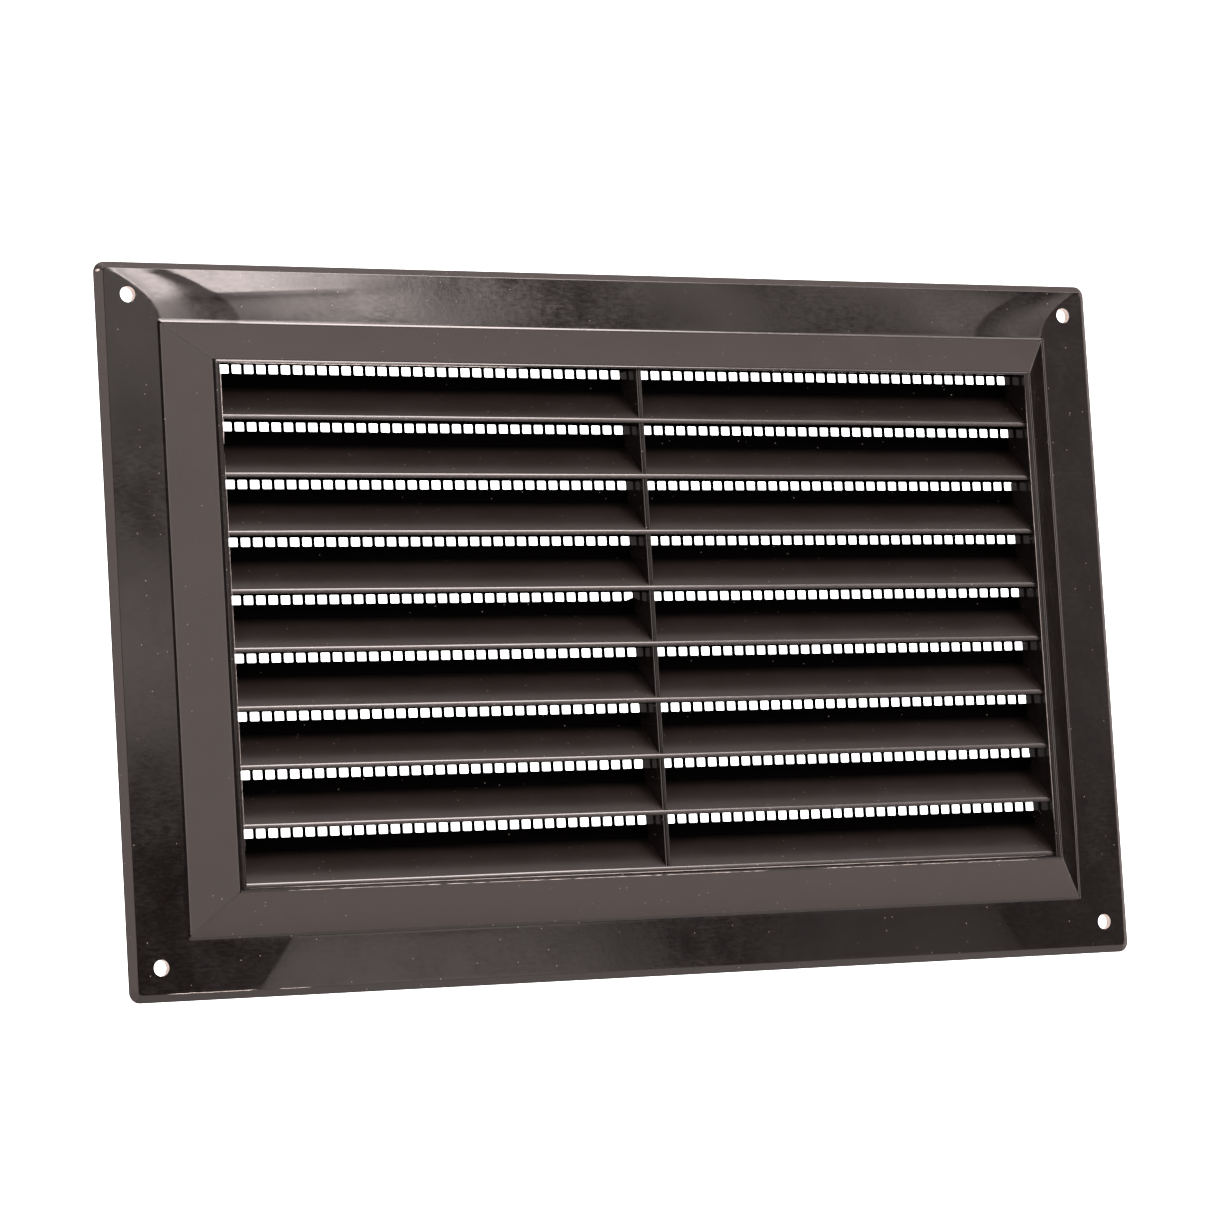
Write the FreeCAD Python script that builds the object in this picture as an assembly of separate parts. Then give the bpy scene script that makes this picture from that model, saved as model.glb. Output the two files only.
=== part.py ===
import FreeCAD, Part
import math
import os

# Fixed louvre vent with a fly screen: a surface-fixed air vent cover, moulded in plastic.
#
# Millimetres. X is across the vent, Z is up, and the room is towards -Y.
# The back of the rim, which meets the wall, is the plane Y = 0, and the origin is the middle of
# the four screw holes in that plane. A depth below is a distance from the wall towards the room.

# Rim and flange
overall_width = 261.5
overall_height = 164.0
rim_corner_radius = 2.5
rim_edge = 0.5              # square edge next to the wall
rim_chamfer = 1.6           # width of the sloped edge, seen from the front
rim_width = 2.2             # width of the rim's back, which is all that meets the wall
flange_depth_outside = 1.9  # front of the flange, next to the chamfer
flange_depth_inside = 2.25  # front of the flange, at the foot of the raised frame
flange_width_side = 14.15
flange_width_top = 13.55
flange_recess = 0.5         # the back of the flange stands this far off the wall

# Screw holes
screw_hole_diameter = 3.6
screw_inset_side = 7.25     # from the rim's edge to the middle of a hole
screw_inset_top = 7.5
screw_pad_diameter = 7.5

# Raised frame
frame_depth = 10.0          # front of the lip
frame_wall = 1.8            # thickness of the sloped sides, which are hollow behind
frame_hollow_depth = 5.8
lip_width_side = 1.5
lip_width_top = 0.6
foot_blend = 0.35           # narrow slope that softens the corner at the foot
lip_fillet = 0.3

# Walls of the opening
wall_thickness = 1.5
wall_draft_side = 0.37      # the side walls lean in by this much on their way back
wall_clear_top = 0.4        # from the top row of screen holes to the top wall
gusset_thickness = 1.2
gussets_across = 6          # between each long wall and the sloped side
gussets_up = 3              # between each short wall and the sloped side

# Louvre slats and the rib that carries them in the middle
louvre_rows = 9
louvre_pitch = 13.0
slat_recess = 1.1           # from the lip back to the slats' front edges
slat_edge = 1.05            # height of a slat's front edge
slat_back = 1.9             # height of a slat where it meets the screen
slat_slope = 45.0           # degrees
slat_fillet = 0.25
top_lip_drop = 0.45         # the top lip hangs this much lower than a slat would
rib_front = 1.4
rib_fillet = 0.45

# Fly screen
screen_hole_width = 2.3
screen_hole_height = 2.05
screen_bar = 0.7
screen_holes_per_half = 35
screen_middle = 2.16        # solid strip behind the rib, as wide as the rib's back
screen_bars = 0.5           # thickness of the upright bars between the holes of a row
screen_strips = 0.5         # thickness of the level strips behind them, between the rows
screen_hole_rise = 11.4     # from a slat's front edge up to the middle of its row of holes
screen_clearance = 0.1

# Nibs that hold the fly screen
nib_length = 6.0
nib_thickness = 1.4
nib_overlap = 0.8
nib_root = 4.5              # depth at which a nib grows out of the wall
nib_across = 70.0           # from the middle to the outer nibs of the long walls
nib_up = 30.0               # from the middle to the nibs of the short walls

# Depths of the screen and the slats
screen_back_depth = flange_recess
screen_front_depth = screen_back_depth + screen_strips + screen_bars
slat_depth = frame_depth - slat_recess
slat_run = slat_depth - screen_front_depth
slat_rise = slat_run * math.tan(math.radians(slat_slope))

# Half sizes, across and up, of the steps of the frame
screen_pitch = screen_hole_width + screen_bar
half_row = screen_holes_per_half * screen_pitch - screen_bar
rim_half = (overall_width / 2, overall_height / 2)
screw_half = (rim_half[0] - screw_inset_side, rim_half[1] - screw_inset_top)
foot_half = (rim_half[0] - flange_width_side, rim_half[1] - flange_width_top)
opening_half_up = (louvre_rows * louvre_pitch - top_lip_drop) / 2
opening_back_half_across = half_row + screen_middle / 2
opening_front_half = (opening_back_half_across + wall_draft_side, opening_half_up)
lip_half = (opening_front_half[0] + lip_width_side, opening_front_half[1] + lip_width_top)


def slat_height(row):
    """Height of the top of a slat's front edge. Row 0 is the lowest slat, which stands on the lip."""
    return -opening_half_up + slat_edge + row * louvre_pitch


def hole_height(row):
    """Height of the middle of the row of screen holes above a slat."""
    return slat_height(row) + screen_hole_rise


top_of_holes = hole_height(louvre_rows - 1) + screen_hole_height / 2
opening_back_half = (opening_back_half_across, top_of_holes + wall_clear_top)
wall_back_half = (opening_back_half[0] + wall_thickness, opening_back_half[1] + wall_thickness)
wall_front_half = (opening_front_half[0] + wall_thickness, opening_front_half[1] + wall_thickness)


def rectangle(half, depth, radius):
    """Closed wire round the vent's middle, with rounded corners, at a depth in front of the wall."""
    across, up = half
    diagonal = radius * (1 - math.sqrt(0.5))
    arcs = []
    for sx, sz in ((1, 1), (-1, 1), (-1, -1), (1, -1)):
        upright = FreeCAD.Vector(sx * across, -depth, sz * (up - radius))
        middle = FreeCAD.Vector(sx * (across - diagonal), -depth, sz * (up - diagonal))
        level = FreeCAD.Vector(sx * (across - radius), -depth, sz * up)
        arcs.append((upright, middle, level) if sx == sz else (level, middle, upright))
    edges = []
    for arc, following in zip(arcs, arcs[1:] + arcs[:1]):
        edges.append(Part.Arc(*arc).toShape())
        edges.append(Part.LineSegment(arc[2], following[0]).toShape())
    return Part.Wire(edges)


def frustum(half_a, depth_a, half_b, depth_b):
    """Flat-sided solid between two rectangles, the second one nearer to the room."""
    (xa, za), (xb, zb) = half_a, half_b
    return Part.makeWedge(-xb, -depth_b, -zb, -za, -xa, xb, -depth_a, zb, za, xa)


def rounded_frustum(half_a, depth_a, radius_a, half_b, depth_b, radius_b):
    """The same with rounded corners."""
    wires = [rectangle(half_a, depth_a, radius_a), rectangle(half_b, depth_b, radius_b)]
    return Part.makeLoft(wires, True, True)


def slab(left, right, depth_back, depth_front, bottom, top):
    """Block between two sides, two depths and two heights."""
    size = (right - left, depth_front - depth_back, top - bottom)
    return Part.makeBox(*size, FreeCAD.Vector(left, -depth_front, bottom))


def mix(half_a, depth_a, half_b, depth_b, depth):
    """Half sizes at a depth on the straight sides between two rectangles."""
    share = (depth - depth_a) / (depth_b - depth_a)
    return tuple(a + (b - a) * share for a, b in zip(half_a, half_b))


def hollow_half(depth):
    """Half sizes of the inner face of the sloped sides, one frame wall in from the outer face."""
    sizes = []
    for foot, lip in zip(foot_half, lip_half):
        slope = (foot - lip) / (frame_depth - flange_depth_inside)
        outer = foot + slope * (flange_depth_inside - depth)
        sizes.append(outer - frame_wall * math.hypot(1, slope))
    return tuple(sizes)


def edges_on(shape, half, depth):
    """Straight edges of a shape that lie on a rectangle at a depth."""
    found = []
    for edge in shape.Edges:
        box = edge.BoundBox
        if abs(box.YMin + depth) > 1e-4 or abs(box.YMax + depth) > 1e-4:
            continue
        middle = edge.CenterOfMass
        if abs(abs(middle.x) - half[0]) < 1e-4 or abs(abs(middle.z) - half[1]) < 1e-4:
            found.append(edge)
    return found


def make_shell():
    """Rim, flange and raised frame as one outer form, with soft edges at the foot and at the lip."""
    flat_half = (rim_half[0] - rim_chamfer, rim_half[1] - rim_chamfer)
    inner_radius = max(rim_corner_radius - rim_chamfer, 0.05)
    rim = rounded_frustum(rim_half, 0, rim_corner_radius, rim_half, rim_edge, rim_corner_radius)
    chamfer = rounded_frustum(rim_half, rim_edge, rim_corner_radius,
                              flat_half, flange_depth_outside, inner_radius)
    flange = frustum(flat_half, flange_depth_outside, foot_half, flange_depth_inside)
    corner_trim = rounded_frustum(flat_half, 0, inner_radius, flat_half, frame_depth, inner_radius)
    flange_slope = (flange_depth_inside - flange_depth_outside) / (flange_width_side - rim_chamfer)
    blend_low = flange_depth_inside - foot_blend * flange_slope
    blend_high = flange_depth_inside + foot_blend
    blend_base = mix(flat_half, flange_depth_outside, foot_half, flange_depth_inside, blend_low)
    blend_top = mix(foot_half, flange_depth_inside, lip_half, frame_depth, blend_high)
    blend = frustum(blend_base, blend_low, blend_top, blend_high)
    frame = frustum(foot_half, flange_depth_inside, lip_half, frame_depth)
    frame = frame.makeFillet(lip_fillet, edges_on(frame, lip_half, frame_depth))
    return rim.fuse([chamfer, flange.common(corner_trim), blend, frame])


def make_hollow():
    """Space behind the sloped sides, with a thin gusset left standing here and there."""
    block = frustum(hollow_half(0), 0, hollow_half(frame_hollow_depth), frame_hollow_depth)
    walls = frustum(wall_back_half, 0, wall_back_half, screen_front_depth)
    walls = walls.fuse(frustum(wall_back_half, screen_front_depth, wall_front_half, frame_depth))
    hollow = block.cut(walls)
    across, up = hollow_half(0)
    gussets = []
    for i in range(gussets_across):
        x = wall_back_half[0] * (2 * (i + 0.5) / gussets_across - 1)
        gussets.append(slab(x - gusset_thickness / 2, x + gusset_thickness / 2,
                            flange_recess, frame_depth, -up, up))
    for i in range(gussets_up):
        z = wall_back_half[1] * (2 * (i + 0.5) / gussets_up - 1)
        gussets.append(slab(-across, across, flange_recess, frame_depth,
                            z - gusset_thickness / 2, z + gusset_thickness / 2))
    return hollow.cut(gussets)


def make_opening():
    """Space inside the four walls, open at the front and at the back."""
    front = frustum(opening_back_half, screen_front_depth, opening_front_half, frame_depth)
    back = frustum(wall_back_half, 0, wall_back_half, screen_front_depth)
    return front.fuse(back)


def make_slat(row):
    """One sloped slat from side wall to side wall, with soft front edges."""
    front = slat_height(row)
    reach = opening_front_half[0] + wall_thickness / 2
    section = [(slat_depth, front), (screen_front_depth, front + slat_rise),
               (screen_front_depth, front + slat_rise - slat_back), (slat_depth, front - slat_edge)]
    points = [FreeCAD.Vector(-reach, -depth, height) for depth, height in section]
    slat = Part.Face(Part.makePolygon(points + points[:1])).extrude(FreeCAD.Vector(2 * reach, 0, 0))
    long_front = [edge for edge in slat.Edges
                  if edge.Length > reach and abs(edge.CenterOfMass.y + slat_depth) < 1e-4]
    return slat.makeFillet(slat_fillet, long_front)


def make_rib():
    """Upright rib in the middle, flush with the slats' front edges and thicker at the back."""
    half_height = opening_half_up + wall_thickness / 2
    section = [(-rib_front / 2, slat_depth), (rib_front / 2, slat_depth),
               (screen_middle / 2, screen_front_depth), (-screen_middle / 2, screen_front_depth)]
    points = [FreeCAD.Vector(x, -depth, -half_height) for x, depth in section]
    rib = Part.Face(Part.makePolygon(points + points[:1])).extrude(FreeCAD.Vector(0, 0, 2 * half_height))
    upright_front = [edge for edge in rib.Edges
                     if edge.Length > half_height and abs(edge.CenterOfMass.y + slat_depth) < 1e-4]
    return rib.makeFillet(rib_fillet, upright_front)


def make_nibs():
    """Blocks outside the walls that hook over the screen's edge."""
    across, up = wall_back_half
    nibs = []
    for side in (-1, 1):
        inner, outer = up - nib_overlap, up + nib_thickness
        bottom, top = (inner, outer) if side > 0 else (-outer, -inner)
        for x in (-nib_across, 0, nib_across):
            nibs.append(slab(x - nib_length / 2, x + nib_length / 2, 0, nib_root, bottom, top))
        inner, outer = across - nib_overlap, across + nib_thickness
        left, right = (inner, outer) if side > 0 else (-outer, -inner)
        for z in (-nib_up, nib_up):
            nibs.append(slab(left, right, 0, nib_root, z - nib_length / 2, z + nib_length / 2))
    return nibs


def make_grille():
    """The whole moulding: rim, flange, hollow raised frame, walls, slats, rib and nibs."""
    recess_half = (rim_half[0] - rim_width, rim_half[1] - rim_width)
    recess = frustum(recess_half, 0, recess_half, flange_recess)
    outwards = FreeCAD.Vector(0, -1, 0)
    pads, holes = [], []
    for sx in (-1, 1):
        for sz in (-1, 1):
            place = FreeCAD.Vector(sx * screw_half[0], 0, sz * screw_half[1])
            pads.append(Part.makeCylinder(screw_pad_diameter / 2, flange_recess, place, outwards))
            holes.append(Part.makeCylinder(screw_hole_diameter / 2, frame_depth, place, outwards))
    grille = make_shell().cut([recess.cut(pads), make_hollow(), make_opening()])
    slats = [make_slat(row) for row in range(louvre_rows)]
    seat = frustum(wall_back_half, screen_back_depth, wall_back_half, screen_front_depth)
    grille = grille.fuse(slats + [make_rib()] + make_nibs())
    return grille.cut(holes + [seat]).removeSplitter()


def make_screen():
    """Fly screen: upright slots in its front half and long windows in its back half, so that
    a row of small square holes is left behind each gap between slats."""
    half = tuple(size - screen_clearance for size in wall_back_half)
    plate = frustum(half, screen_back_depth, half, screen_front_depth)
    middle_depth = screen_back_depth + screen_strips
    bottom_of_holes = hole_height(0) - screen_hole_height / 2
    cuts = []
    for side in (-1, 1):
        start = screen_middle / 2
        left, right = sorted((side * start, side * (start + half_row)))
        for row in range(louvre_rows):
            z = hole_height(row)
            cuts.append(slab(left, right, screen_back_depth, middle_depth,
                             z - screen_hole_height / 2, z + screen_hole_height / 2))
        for i in range(screen_holes_per_half):
            x = left + i * screen_pitch
            cuts.append(slab(x, x + screen_hole_width, middle_depth, screen_front_depth,
                             bottom_of_holes, top_of_holes))
    return plate.cut(cuts)


os.makedirs("parts", exist_ok=True)
nodes = {"louvre_grille": make_grille(), "fly_screen": make_screen()}
for name, shape in nodes.items():
    solid = shape.Solids[0]
    print(name, "solids", len(shape.Solids), "valid", solid.isValid(), "volume", round(solid.Volume, 1))
    solid.exportStep("parts/" + name + ".step")
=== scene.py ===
import math

import bmesh
import bpy
from mathutils import Matrix, Vector, noise


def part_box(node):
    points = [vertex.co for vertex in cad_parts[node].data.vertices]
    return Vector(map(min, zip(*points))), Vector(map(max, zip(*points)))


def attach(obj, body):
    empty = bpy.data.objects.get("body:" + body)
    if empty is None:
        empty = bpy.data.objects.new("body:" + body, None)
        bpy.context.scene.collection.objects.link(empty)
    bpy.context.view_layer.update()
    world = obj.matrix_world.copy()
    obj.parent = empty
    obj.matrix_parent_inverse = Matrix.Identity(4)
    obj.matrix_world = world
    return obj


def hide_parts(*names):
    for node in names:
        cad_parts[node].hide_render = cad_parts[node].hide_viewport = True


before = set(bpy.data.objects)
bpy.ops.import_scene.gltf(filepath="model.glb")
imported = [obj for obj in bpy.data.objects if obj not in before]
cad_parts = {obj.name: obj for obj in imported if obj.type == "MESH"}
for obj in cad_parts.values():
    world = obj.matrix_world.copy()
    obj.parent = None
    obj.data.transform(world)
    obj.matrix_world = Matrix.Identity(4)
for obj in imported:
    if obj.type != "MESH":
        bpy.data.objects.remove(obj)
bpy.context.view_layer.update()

# Fixed louvre vent in dark brown moulded plastic, with a fly screen behind its slats.
#
# Lengths are in millimetres and are turned to metres where a mesh is made. X is across the vent,
# Z is up and the room is towards -Y. A depth is a distance from the wall towards the room.
MM = 0.001

# Outline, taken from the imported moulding
moulding_low, moulding_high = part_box("louvre_grille")
rim_half = (moulding_high.x / MM, moulding_high.z / MM)
frame_depth = -moulding_low.y / MM
screen_low, screen_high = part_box("fly_screen")
screen_half = (screen_high.x / MM, screen_high.z / MM)
screen_back_depth = -screen_high.y / MM
screen_front_depth = -screen_low.y / MM

# Rim and flange
rim_corner_radius = 2.5
rim_edge = 0.5
rim_chamfer = 1.6
rim_width = 2.2
rim_round = 0.14
flange_depth_outside = 1.9
flange_depth_inside = 2.25
flange_width_side = 14.15
flange_width_top = 13.55
flange_recess = screen_back_depth
flat_half = (rim_half[0] - rim_chamfer, rim_half[1] - rim_chamfer)
foot_half = (rim_half[0] - flange_width_side, rim_half[1] - flange_width_top)

# How the flange has set, as the fall of its front for each millimetre out from the foot. The top is
# dished, so its fall grows with the square of the distance.
side_lean = 0.0287
bottom_lean = 0.028
top_dish = 0.00235
corner_fade = 18.0              # the corner shapes fade out over this length down each side
bottom_crease = (91.4, 0.76)    # distance from the middle at the foot, and slant of the crease
bottom_corner_lean = 0.009      # further fall beyond the crease
bottom_sag = (0.11, 34.0)       # fall between the creases, and the length over which it grows
sunk_depth = 0.08               # of the top corners, between an inner and an outer crease
sunk_inner = (97.2, 0.125)      # distance from the middle at the foot, and curve of the crease
sunk_outer = (foot_half[0], 0.081)
ridge_height = 0.07             # of a faint ridge along the left end of the top
ridge_half_width = 1.5
ridge_start = (-108.0, 6.4)     # across, and distance up from the foot
ridge_end = (-70.0, 8.6)
ridge_fade_in = (-112.0, -98.0)
ridge_fade_out = (-52.0, -72.0)

# Waves of the flange: length, height below and above a band of heights, and that band
broad_wave = (26.0, 0.012, 0.036, (-78.0, -50.0))
fine_wave = (8.0, 0.003, 0.010, (50.0, 70.0))

# Screw holes
screw_inset_side = 7.25
screw_inset_top = 7.5
screw_half = (rim_half[0] - screw_inset_side, rim_half[1] - screw_inset_top)
screw_hole_radius = 1.8
screw_hole_flare = 0.15
screw_flange_fall = 0.2         # how far the flange has fallen back where the holes are
screw_pad_radius = 3.75
screw_pad_sink = 0.3

# Raised frame and the walls of its opening
frame_wall = 1.8
frame_hollow_depth = 5.8
lip_width_side = 1.5
lip_width_top = 0.6
opening_front_half = (105.75, 58.275)
opening_back_half = (105.38, 59.6)
lip_half = (opening_front_half[0] + lip_width_side, opening_front_half[1] + lip_width_top)
foot_round = 0.42
mitre_round = 0.1
lip_round = 0.4
opening_round = 0.2
wall_thickness = 1.5
gusset_thickness = 1.2
gusset_sink = 0.2
gusset_round = 0.15
gussets_across = 6
gussets_up = 3

# Slats and rib
louvre_rows = 9
louvre_pitch = 13.0
slat_recess = 1.1
slat_depth = frame_depth - slat_recess
slat_edge = 1.05
slat_back = 1.9
slat_rise = slat_depth - screen_front_depth     # a slope of 45 degrees
slat_sink = 0.35                # how far the slats run into the side walls
slat_round = 0.18
slat_round_profile = 0.34       # the upper round has a flatter middle than an arc
slat_round_below = 0.12
slat_lean = 0.05                # how far the foot of the front edge stands forward
slat_bow = (0.07, 38.0)         # height and length of the slats' waves up and down
slat_ripple = (0.03, 21.0)      # and of those in and out
slat_cuts = 90                  # along a slat and up the rib, so that they can wave
lowest_slat = slat_edge - opening_front_half[1]
rib_recess = 0.12
rib_depth = slat_depth - rib_recess
rib_front = 1.4
rib_back = 2.16
rib_sink = 0.3
rib_round = 0.45
rib_shift = 0.26                # the rib has set a little right of the middle
rib_wave = (0.04, 17.0)

# Fly screen
screen_pitch = 3.0
screen_hole_width = 2.4
screen_hole_height = 2.05
screen_holes_per_half = 35
screen_hole_rise = 11.4
screen_hole_round = 0.24
screen_strips = 0.5
strip_clearance = 0.1
wedge_row = 4
wedge_height = 0.85
wedge_thickness = 0.4
wedge_sink = 0.1
wedge_recess = 0.02
wedge_fall = 0.94               # brings the wedge's left end almost down to nothing

# Nibs that hold the fly screen
nib_length = 6.0
nib_thickness = 1.4
nib_overlap = 0.8
nib_root = 4.5
nib_across = 70.0
nib_up = 30.0
nib_round = 0.2

# Pale slivers: torn mould flash, and painted highlights along edges
sliver_step = 0.3                # between the cuts along a sliver
sliver_thinning = 1.3                # length over which its thickness changes
sliver_wander = 2.1              # length over which it strays from its line

# Patterns of the plastic's surface
cloud_size = 100 / 11           # 9 mm
wipe_size = (2.0, 1.0, 5 / 7)   # long across and thin upwards
peel_size = 1.25
peel_height = 0.04
dust_spacing = 2.0
dust_outer = 0.17               # radius at which a speck starts to show
dust_inner = 0.09               # and at which it is full
dust_colour = "8F8884"
plastic_ior = 1.52

# Studio
floor_size = 3000.0
floor_drop = 450.0
room_light = 0.06
camera_place = (-517.5, -957.0, -95.2)
camera_forward = (0.4686, 0.8787, 0.091)
camera_right = (0.8833, -0.465, -0.0593)
camera_lens = 139.26


def mix(a, b, share):
    """The value a share of the way from a to b."""
    return a + (b - a) * share


def smooth(low, high, value):
    """0 below low, 1 above high, and a soft step between."""
    share = min(max((value - low) / (high - low), 0.0), 1.0)
    return share * share * (3 - 2 * share)


def wave(place, size, seed):
    """Soft random height between about -1 and 1, with features of a size in millimetres."""
    return noise.noise(Vector((place.x, place.y, place.z)) / size + Vector((seed, -seed, 2 * seed)))


def to_edit(piece):
    """Makes a piece the only selected one and opens it for editing."""
    bpy.ops.object.select_all(action="DESELECT")
    piece.select_set(True)
    bpy.context.view_layer.objects.active = piece
    bpy.ops.object.mode_set(mode="EDIT")


def to_object():
    """Closes the open piece."""
    bpy.ops.object.mode_set(mode="OBJECT")


def pick(kind, test):
    """Selects the vertices, edges or faces of the open piece that pass a test."""
    bpy.ops.mesh.select_mode(type=kind)
    bpy.ops.mesh.select_all(action="DESELECT")
    mesh = bpy.context.active_object.data
    shape = bmesh.from_edit_mesh(mesh)
    for element in {"VERT": shape.verts, "EDGE": shape.edges, "FACE": shape.faces}[kind]:
        if test(element):
            element.select_set(True)
    shape.select_flush_mode()
    bmesh.update_edit_mesh(mesh)


def picked_points():
    """Places of the selected vertices of the open piece, in millimetres."""
    shape = bmesh.from_edit_mesh(bpy.context.active_object.data)
    return [vertex.co / MM for vertex in shape.verts if vertex.select]


def place_ring(half, depth):
    """Brings the selected ring to its half sizes and its depth. A ring of four corners is squared up."""
    points = picked_points()
    across = max(abs(point.x) for point in points)
    up = max(abs(point.z) for point in points)
    bpy.ops.transform.resize(value=(half[0] / across, 1, half[1] / up), center_override=(0, 0, 0))
    bpy.ops.transform.translate(value=(0, (-depth - points[0].y) * MM, 0))
    if len(points) == 4:
        mesh = bpy.context.active_object.data
        for vertex in bmesh.from_edit_mesh(mesh).verts:
            if vertex.select:
                vertex.co.x = math.copysign(half[0] * MM, vertex.co.x)
                vertex.co.z = math.copysign(half[1] * MM, vertex.co.z)
        bmesh.update_edit_mesh(mesh)


def next_ring(half, depth):
    """Draws the selected face out to a further ring of the section."""
    bpy.ops.mesh.extrude_region_move()
    place_ring(half, depth)


def inset_ring(width, half, depth):
    """Sets a smaller ring into the selected face, so that round corners tighten as they go in."""
    bpy.ops.mesh.inset(thickness=width * MM, depth=0)
    place_ring(half, depth)


def soften(radius, segments, profile=0.5):
    """Rounds all the selected edges, with a flatter middle where the profile is below a half."""
    bpy.ops.mesh.bevel(offset=radius * MM, segments=segments, profile=profile, affect="EDGES")


def on_ring(half, depth):
    """Test for an edge that lies on a ring."""
    def test(edge):
        points = [vertex.co / MM for vertex in edge.verts]
        level = all(abs(point.y + depth) < 0.01 for point in points)
        across = all(abs(abs(point.x) - half[0]) < 0.01 for point in points)
        up = all(abs(abs(point.z) - half[1]) < 0.01 for point in points)
        return level and (across or up)
    return test


def round_ring(half, depth, radius, segments):
    """Rounds the edge of the section that runs along a ring."""
    pick("EDGE", on_ring(half, depth))
    bpy.ops.mesh.bevel(offset=radius * MM, segments=segments, affect="EDGES", miter_outer="SHARP")


def cut_across(axis, cuts):
    """Divides every edge that runs along an axis."""
    def test(edge):
        run = edge.verts[1].co - edge.verts[0].co
        return abs(run[axis]) > 0.999 * run.length
    pick("EDGE", test)
    bpy.ops.mesh.subdivide(number_cuts=cuts)


def new_plane(name, half, depth):
    """Starts a piece as a rectangle that faces the room, open for editing and selected."""
    bpy.ops.object.select_all(action="DESELECT")
    bpy.ops.mesh.primitive_plane_add(size=2 * MM, rotation=(math.radians(90), 0, 0))
    piece = bpy.context.active_object
    piece.name = piece.data.name = name
    bpy.ops.object.transform_apply(location=False, rotation=True, scale=False)
    to_edit(piece)
    bpy.ops.mesh.select_all(action="SELECT")
    place_ring(half, depth)
    return piece


def new_block(name, low, high):
    """Starts a piece as a block between two corners given as across, depth and up. It is left open
    for editing."""
    bpy.ops.object.select_all(action="DESELECT")
    bpy.ops.mesh.primitive_cube_add(size=MM)
    piece = bpy.context.active_object
    piece.name = piece.data.name = name
    to_edit(piece)
    bpy.ops.mesh.select_all(action="SELECT")
    bpy.ops.transform.resize(value=tuple(b - a for a, b in zip(low, high)), center_override=(0, 0, 0))
    middle = [(a + b) / 2 * MM for a, b in zip(low, high)]
    bpy.ops.transform.translate(value=(middle[0], -middle[1], middle[2]))
    return piece


def new_cylinder(radius, sides, middle, back, front):
    """Starts a round piece that stands out from the wall, between two depths."""
    bpy.ops.mesh.primitive_cylinder_add(
        vertices=sides, radius=radius * MM, depth=(front - back) * MM,
        location=(middle[0] * MM, -(front + back) / 2 * MM, middle[1] * MM),
        rotation=(math.radians(90), 0, 0))
    return bpy.context.active_object


def join(pieces, name):
    """Joins blocks that belong to one moulded detail."""
    bpy.ops.object.select_all(action="DESELECT")
    for piece in pieces:
        piece.select_set(True)
    bpy.context.view_layer.objects.active = pieces[0]
    bpy.ops.object.join()
    joined = bpy.context.active_object
    joined.name = joined.data.name = name
    return joined


def combine(piece, tool, operation):
    """Adds a tool body to a piece or cuts it away, and removes the tool."""
    modifier = piece.modifiers.new("combine", "BOOLEAN")
    modifier.operation = operation
    modifier.solver = "EXACT"
    modifier.object = tool
    bpy.context.view_layer.objects.active = piece
    bpy.ops.object.modifier_apply(modifier=modifier.name)
    bpy.data.objects.remove(tool)


def repeat(piece, count, step):
    """Repeats a piece along a straight line and welds the copies."""
    array = piece.modifiers.new("repeat", "ARRAY")
    array.count = count
    array.use_relative_offset = False
    array.use_constant_offset = True
    array.constant_offset_displace = Vector(step) * MM
    array.use_merge_vertices = True
    array.merge_threshold = 0.01 * MM
    bpy.context.view_layer.objects.active = piece
    bpy.ops.object.modifier_apply(modifier=array.name)


def thicken(thickness):
    """Gives the open flat piece its thickness, towards the wall, and closes it."""
    bpy.ops.mesh.select_all(action="SELECT")
    bpy.ops.mesh.extrude_region_move()
    bpy.ops.transform.translate(value=(0, thickness * MM, 0))
    bpy.ops.mesh.select_all(action="SELECT")
    bpy.ops.mesh.normals_make_consistent(inside=False)
    to_object()


def hollow_half(depth):
    """Half sizes of the inner face of the sloped sides."""
    sizes = []
    for foot, lip in zip(foot_half, lip_half):
        slope = (foot - lip) / (frame_depth - flange_depth_inside)
        sizes.append(foot + slope * (flange_depth_inside - depth) - frame_wall * math.hypot(1, slope))
    return tuple(sizes)


def wall_half(depth):
    """Half sizes of the outer face of the walls round the opening."""
    share = (depth - screen_front_depth) / (frame_depth - screen_front_depth)
    return tuple(mix(back, front, share) + wall_thickness
                 for back, front in zip(opening_back_half, opening_front_half))


def flange_drop(x, z):
    """How far the front of the flange falls back from its height at the foot of the frame. The top is
    dished and the sides lean, so they meet on a curved crease, and the top corners are sunk as far as a
    second crease further in. At the bottom corners the side leans on to a straight crease."""
    across = max(abs(x) - foot_half[0], 0.0)
    up = max(abs(z) - foot_half[1], 0.0)
    side = side_lean * across
    near_corner = smooth(corner_fade, 0.0, foot_half[1] - abs(z))
    if z < 0:
        beyond = abs(x) - bottom_crease[0] - bottom_crease[1] * up
        sag = bottom_sag[0] * smooth(0.0, -bottom_sag[1], beyond)
        corner = bottom_corner_lean * beyond if beyond > 0 else sag
        return max(bottom_lean * up + corner * near_corner, side)
    level = top_dish * up ** 2
    inner = sunk_inner[0] + sunk_inner[1] * up ** 2
    outer = sunk_outer[0] + sunk_outer[1] * up ** 2
    share = (abs(x) - inner) / (outer - inner)
    if 0 < share < 1:
        level += 4 * sunk_depth * share * (1 - share) * near_corner
    along = (x - ridge_start[0]) / (ridge_end[0] - ridge_start[0])
    off_ridge = up - mix(ridge_start[1], ridge_end[1], along)
    ridge = smooth(*ridge_fade_in, x) * smooth(*ridge_fade_out, x) * near_corner
    level -= ridge_height * ridge * math.exp(-(off_ridge / ridge_half_width) ** 2)
    return max(level, side)


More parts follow.
